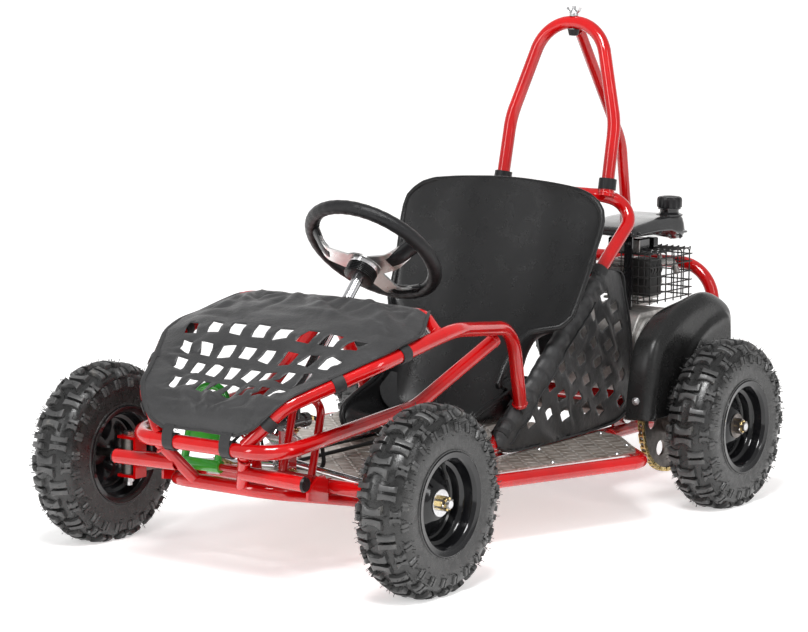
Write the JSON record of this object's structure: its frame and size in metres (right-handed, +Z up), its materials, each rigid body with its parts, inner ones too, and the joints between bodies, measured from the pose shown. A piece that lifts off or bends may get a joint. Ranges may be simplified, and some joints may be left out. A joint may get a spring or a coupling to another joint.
{
  "type": "off-road kart",
  "caption": "Small off-road kart: welded tube chassis with seat, steering, pedals, rear engine with chain drive, knobbly tyres and fabric covers.",
  "frame": {"origin": "on the ground under the middle of the kart's bounding box", "axes": "+X to the kart's left, +Y to its rear, +Z up"},
  "size_m": [0.873, 1.4058, 0.9487],
  "materials": {
    "red_paint": "gloss powder coat",
    "green_paint": "gloss powder coat",
    "black_plastic": "grained matte",
    "black_paint": "gloss",
    "webbing": "woven matte",
    "cover_fabric": "coated cloth, satin",
    "zinc_steel": "zinc plated, satin",
    "chain_steel": "yellow zinc, satin",
    "chrome": "polished",
    "plate_alloy": "raised tread, satin",
    "cast_alloy": "as cast",
    "black_metal": "satin",
    "hose_rubber": "satin",
    "grip": "padded, satin",
    "tyre": "moulded rubber"
  },
  "bodies": {
    "chassis": {"main_rails": "red_paint", "upper_bumper": "red_paint", "bumper_struts": "red_paint", "stub_caps": "black_plastic", "side_bars": "red_paint", "cowl_hoops": "red_paint", "dash_bar": "red_paint", "seat_hoop": "red_paint", "cross_members": "red_paint", "rear_guard": "red_paint", "rear_brace": "red_paint", "roll_hoop": "red_paint", "hoop_sleeves": "black_plastic", "hoop_bolts": "zinc_steel", "axle_carriers": "red_paint", "axle_bearings": "zinc_steel", "front_beam": "red_paint", "kingpin_bolts": "zinc_steel", "floor_plates": "plate_alloy", "plate_screws": "zinc_steel", "seat_shell": "black_plastic", "seat_belt": "webbing", "hood_cover": "cover_fabric", "side_panels": "cover_fabric", "fenders": "black_plastic", "engine_plate": "red_paint", "crankcase": "cast_alloy", "cylinder_head": "cast_alloy", "recoil_cover": "black_plastic", "fuel_tank": "black_paint", "air_filter": "black_plastic", "muffler": "black_paint", "muffler_guard": "black_paint", "drive_chain": "chain_steel", "brake_caliper": "black_metal", "brake_hose": "hose_rubber", "master_cylinder": "black_metal", "throttle_cable": "hose_rubber", "column_bushes": "black_plastic"},
    "steering": {"steering_wheel": "grip", "wheel_spokes": "zinc_steel", "steering_column": "chrome"},
    "spindle_left": {"spindle_left": "zinc_steel"},
    "spindle_right": {"spindle_right": "zinc_steel"},
    "tie_rod_left": {"tie_rod_left": "chrome"},
    "tie_rod_right": {"tie_rod_right": "chrome"},
    "front_wheel_left": {"front_rim_left": "black_paint", "front_tyre_left": "tyre"},
    "front_wheel_right": {"front_rim_right": "black_paint", "front_tyre_right": "tyre"},
    "rear_axle": {"rear_axle": "zinc_steel", "axle_sprocket": "zinc_steel", "brake_disc": "zinc_steel", "rear_rims": "black_paint", "rear_tyres": "tyre"},
    "clutch": {"clutch_drum": "zinc_steel"},
    "throttle_pedal": {"throttle_pedal": "green_paint"},
    "brake_pedal": {"brake_pedal": "red_paint"},
    "fuel_cap": {"fuel_cap": "black_plastic"},
    "recoil_handle": {"recoil_handle": "black_plastic"}
  },
  "joints": [
    {"name": "steering", "type": "hinge", "parent": "chassis", "child": "steering", "pos_m": [0, -0.2, 0.528], "axis": [0, 0.6947, 0.7193], "range_deg": [-30, 30]},
    {"name": "spindle_left", "type": "hinge", "parent": "chassis", "child": "spindle_left", "pos_m": [0.3, -0.52575, 0.165], "axis": [0, 0, 1], "range_deg": [-25, 25]},
    {"name": "tie_rod_left", "type": "hinge", "parent": "spindle_left", "child": "tie_rod_left", "pos_m": [0.3, -0.46575, 0.15], "axis": [0, 0, 1], "range_deg": [-25, 25]},
    {"name": "front_wheel_left", "type": "hinge", "parent": "spindle_left", "child": "front_wheel_left", "pos_m": [0.3555, -0.52575, 0.165], "axis": [1, 0, 0], "continuous": true},
    {"name": "spindle_right", "type": "hinge", "parent": "chassis", "child": "spindle_right", "pos_m": [-0.3, -0.52575, 0.165], "axis": [0, 0, 1], "range_deg": [-25, 25]},
    {"name": "tie_rod_right", "type": "hinge", "parent": "spindle_right", "child": "tie_rod_right", "pos_m": [-0.3, -0.46575, 0.15], "axis": [0, 0, 1], "range_deg": [-25, 25]},
    {"name": "front_wheel_right", "type": "hinge", "parent": "spindle_right", "child": "front_wheel_right", "pos_m": [-0.3555, -0.52575, 0.165], "axis": [1, 0, 0], "continuous": true},
    {"name": "rear_axle", "type": "hinge", "parent": "chassis", "child": "rear_axle", "pos_m": [0, 0.41575, 0.165], "axis": [1, 0, 0], "continuous": true},
    {"name": "clutch", "type": "hinge", "parent": "chassis", "child": "clutch", "pos_m": [0.262, 0.513, 0.288], "axis": [1, 0, 0], "continuous": true},
    {"name": "throttle_pedal", "type": "hinge", "parent": "chassis", "child": "throttle_pedal", "pos_m": [-0.105, -0.561, 0.178], "axis": [1, 0, 0], "range_deg": [0, 20], "stiffness_Nm_per_rad": 4, "springref_deg": -8.59},
    {"name": "brake_pedal", "type": "hinge", "parent": "chassis", "child": "brake_pedal", "pos_m": [0.106, -0.561, 0.178], "axis": [1, 0, 0], "range_deg": [0, 20], "stiffness_Nm_per_rad": 4, "springref_deg": -8.59},
    {"name": "fuel_cap", "type": "hinge", "parent": "chassis", "child": "fuel_cap", "pos_m": [0.121, 0.643, 0.556], "axis": [0, 0, 1], "range_deg": [0, 90]},
    {"name": "recoil_handle", "type": "slide", "parent": "chassis", "child": "recoil_handle", "axis": [0, 1, 0], "range_m": [0, 0.055], "stiffness_N_per_m": 80, "springref_m": -0.02}
  ],
  "couplings": [
    {"joint": "spindle_left", "follows": "steering", "ratio": 0.83333},
    {"joint": "spindle_right", "follows": "steering", "ratio": 0.83333},
    {"joint": "tie_rod_left", "follows": "steering", "ratio": -0.83333},
    {"joint": "tie_rod_right", "follows": "steering", "ratio": -0.83333},
    {"joint": "clutch", "follows": "rear_axle", "ratio": 4.1667}
  ]
}
